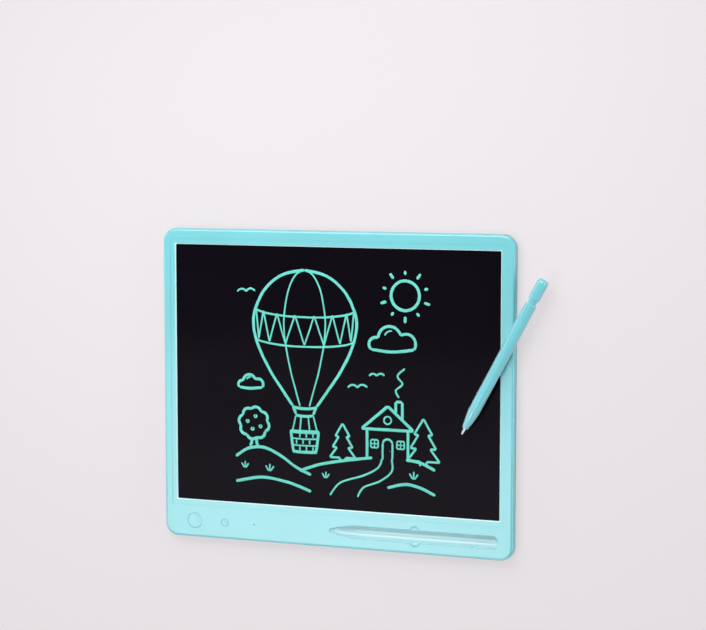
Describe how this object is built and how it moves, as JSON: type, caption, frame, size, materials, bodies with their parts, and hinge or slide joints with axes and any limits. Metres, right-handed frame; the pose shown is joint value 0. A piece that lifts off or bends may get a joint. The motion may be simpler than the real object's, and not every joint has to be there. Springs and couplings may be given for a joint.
{
  "type": "lcd writing tablet",
  "caption": "Flat handheld writing tablet with a wide dark pressure-sensitive screen, a chin with keys and a stylus slot, and a separate round stylus lying across its right side.",
  "frame": {"origin": "centre of the flat back face of the case; the rubber feet stand 0.8 mm below it", "axes": "+X to the right along the long side, +Y to the top edge, +Z out of the screen"},
  "size_m": [0.3601, 0.282, 0.0203],
  "materials": {
    "case_shell": "glossy pale turquoise moulded plastic",
    "rear_shell": "finely textured pale turquoise moulded plastic",
    "key_plastic": "glossy pale turquoise moulded plastic",
    "screen_film": "glossy near-black film",
    "clear_film": "clear polyester film",
    "tape": "black adhesive tape",
    "board_stock": "white backing sheet",
    "flex": "amber flexible circuit",
    "circuit": "green circuit board",
    "dark_plastic": "black moulded plastic",
    "ceramic": "tan ceramic",
    "steel": "plain steel",
    "nickel": "nickel-plated steel",
    "clear_plastic": "clear acrylic",
    "foot_rubber": "dark grey rubber",
    "stylus_plastic": "glossy turquoise moulded plastic",
    "nib_plastic": "white hard plastic"
  },
  "bodies": {
    "tablet": {"front_bezel": "case_shell", "rear_cover": "rear_shell", "lcd_front_film": "screen_film", "lcd_crystal_layer": "screen_film", "lcd_rear_film": "clear_film", "film_tape_frame": "tape", "backing_board": "board_stock", "lcd_flex_tail": "flex", "flex_connector": "dark_plastic", "circuit_board": "circuit", "circuit_board_screws": "steel", "controller_chip": "dark_plastic", "board_capacitors": "ceramic", "erase_switch_body": "dark_plastic", "erase_switch_dome": "steel", "lock_switch_body": "dark_plastic", "lock_switch_spring": "steel", "status_led": "clear_plastic", "led_light_pipe": "clear_plastic", "coin_cell": "steel", "positive_contact": "nickel", "negative_contact": "nickel", "case_screws": "steel", "rubber_feet": "foot_rubber"},
    "erase_button": {"erase_key": "key_plastic", "erase_switch_plunger": "dark_plastic"},
    "lock_button": {"lock_key": "key_plastic", "lock_switch_plunger": "dark_plastic"},
    "rear_door": {"battery_door": "rear_shell", "battery_door_screw": "steel"},
    "stylus": {"stylus_barrel": "stylus_plastic", "stylus_nib": "nib_plastic", "stylus_end_cap": "stylus_plastic"}
  },
  "joints": [
    {"name": "erase_key_press", "type": "slide", "parent": "tablet", "child": "erase_button", "axis": [0, 0, -1], "range_m": [0, 0.0006], "stiffness_N_per_m": 1200, "springref_m": -0.0003, "deforming": ["erase_switch_dome"]},
    {"name": "lock_key_press", "type": "slide", "parent": "tablet", "child": "lock_button", "axis": [0, 0, -1], "range_m": [0, 0.0009], "stiffness_N_per_m": 800, "springref_m": -0.0003, "deforming": ["lock_switch_spring"]},
    {"name": "battery_door_swing", "type": "hinge", "parent": "tablet", "child": "rear_door", "pos_m": [-0.046, -0.124, 0], "axis": [0, 1, 0], "range_deg": [0, 40]},
    {"name": "stylus_lift", "type": "slide", "parent": "tablet", "child": "stylus", "axis": [0, 0, 1], "range_m": [0, 0.05]}
  ]
}
